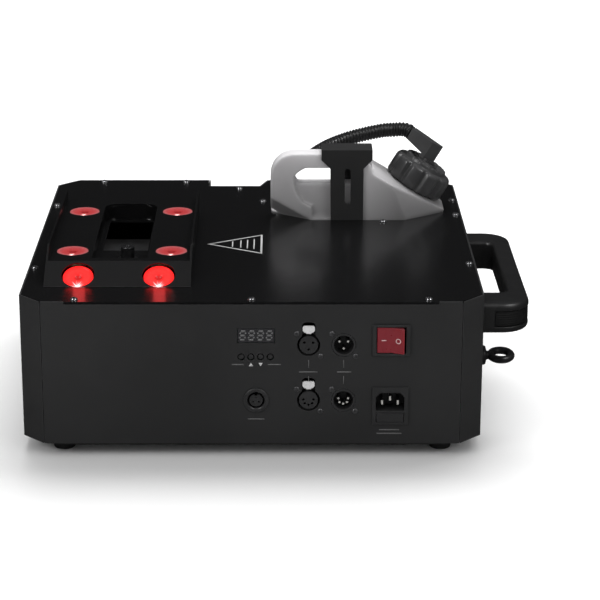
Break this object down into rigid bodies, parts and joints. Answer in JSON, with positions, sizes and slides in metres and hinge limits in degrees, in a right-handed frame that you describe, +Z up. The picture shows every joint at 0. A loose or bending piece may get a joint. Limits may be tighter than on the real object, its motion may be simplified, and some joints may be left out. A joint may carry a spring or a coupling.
{
  "type": "fog machine",
  "caption": "Vertical fog machine in an eight-sided steel casing, with a lit nozzle housing, a fluid jug, a control panel and a side handle.",
  "frame": {"origin": "middle of the bounding box, on the surface that the rubber feet stand on", "axes": "+Z up; the control panel faces -Y; the side handle and the fluid jug are on +X"},
  "size_m": [0.43, 0.3904, 0.2154],
  "materials": {
    "casing_paint": "fine-textured black powder coat",
    "lid_paint": "satin-gloss black paint",
    "black_plastic": "moulded black plastic, fine grain",
    "rubber": "moulded black rubber",
    "lens_red": "clear optical plastic lit red from behind",
    "circuit_board": "green solder resist",
    "zinc": "zinc-plated sheet",
    "nozzle_metal": "blackened steel",
    "cast_aluminium": "cast, matt",
    "insulation": "blackened woven glass-fibre blanket",
    "jug_plastic": "translucent grey blow-moulded plastic",
    "brass": "turned",
    "clear_tube": "flexible tube",
    "display": "smoked window over digit segments",
    "switch_red": "translucent red, moulded",
    "tab_metal": "satin cast metal",
    "black_steel": "black oxide"
  },
  "bodies": {
    "chassis": {"base_tray": "casing_paint", "cap_elbow": "black_plastic", "control_board": "circuit_board", "data_in_3pin": "black_plastic", "data_in_5pin": "black_plastic", "data_out_3pin": "black_plastic", "data_out_5pin": "black_plastic", "display_module": "display", "driver_board": "circuit_board", "eyebolt_nut": "zinc", "fluid_hose": "black_plastic", "fluid_jug": "jug_plastic", "fluid_pump": "zinc", "fog_nozzle": "nozzle_metal", "foot_front_left": "rubber", "foot_front_right": "rubber", "foot_rear_left": "rubber", "foot_rear_right": "rubber", "handle_grip": "rubber", "heater_block": "cast_aluminium", "heater_insulation": "insulation", "heater_stand": "zinc", "hose_gland": "black_plastic", "intake_filter": "brass", "jug_bay_liner": "zinc", "jug_strap": "casing_paint", "led_board_front": "circuit_board", "led_board_left": "circuit_board", "led_board_right": "circuit_board", "led_housing": "lid_paint", "left_side_panel": "casing_paint", "lens_front_left": "lens_red", "lens_front_right": "lens_red", "lens_middle_left": "lens_red", "lens_middle_right": "lens_red", "lens_rear_left": "lens_red", "lens_rear_right": "lens_red", "nozzle_well": "lid_paint", "pickup_tube": "clear_tube", "power_inlet": "black_plastic", "power_supply": "zinc", "pump_inlet_tube": "clear_tube", "pump_outlet_tube": "clear_tube", "rear_recess": "casing_paint", "remote_socket": "black_plastic", "right_side_panel": "casing_paint", "safety_eyebolt": "black_steel", "side_handle": "black_plastic", "switch_bezel": "black_plastic", "top_cover": "lid_paint"},
    "down_button": {"down_button": "black_plastic"},
    "enter_button": {"enter_button": "black_plastic"},
    "fuse_drawer": {"fuse_drawer": "black_plastic"},
    "jug_cap": {"jug_cap": "black_plastic"},
    "menu_button": {"menu_button": "black_plastic"},
    "power_rocker": {"power_rocker": "switch_red"},
    "release_tab_lower": {"release_tab_lower": "tab_metal"},
    "release_tab_upper": {"release_tab_upper": "tab_metal"},
    "up_button": {"up_button": "black_plastic"}
  },
  "joints": [
    {"name": "menu_button_press", "type": "slide", "parent": "chassis", "child": "menu_button", "axis": [0, 1, 0], "range_m": [0, 0.001], "stiffness_N_per_m": 400},
    {"name": "up_button_press", "type": "slide", "parent": "chassis", "child": "up_button", "axis": [0, 1, 0], "range_m": [0, 0.001], "stiffness_N_per_m": 400},
    {"name": "down_button_press", "type": "slide", "parent": "chassis", "child": "down_button", "axis": [0, 1, 0], "range_m": [0, 0.001], "stiffness_N_per_m": 400},
    {"name": "enter_button_press", "type": "slide", "parent": "chassis", "child": "enter_button", "axis": [0, 1, 0], "range_m": [0, 0.001], "stiffness_N_per_m": 400},
    {"name": "release_tab_upper_press", "type": "slide", "parent": "chassis", "child": "release_tab_upper", "axis": [0, 1, 0], "range_m": [0, 0.0014], "stiffness_N_per_m": 800},
    {"name": "release_tab_lower_press", "type": "slide", "parent": "chassis", "child": "release_tab_lower", "axis": [0, 1, 0], "range_m": [0, 0.0014], "stiffness_N_per_m": 800},
    {"name": "rocker_tilt", "type": "hinge", "parent": "chassis", "child": "power_rocker", "pos_m": [0.09655, -0.18977, 0.1047], "axis": [0, 0, 1], "range_deg": [0, 22]},
    {"name": "cap_unscrew", "type": "hinge", "parent": "chassis", "child": "jug_cap", "pos_m": [0.1302, 0.10573, 0.158], "axis": [0.515, 0, 0.8572], "range_deg": [0, 360]},
    {"name": "fuse_drawer_slide", "type": "slide", "parent": "chassis", "child": "fuse_drawer", "axis": [0, -1, 0], "range_m": [0, 0.014]}
  ]
}
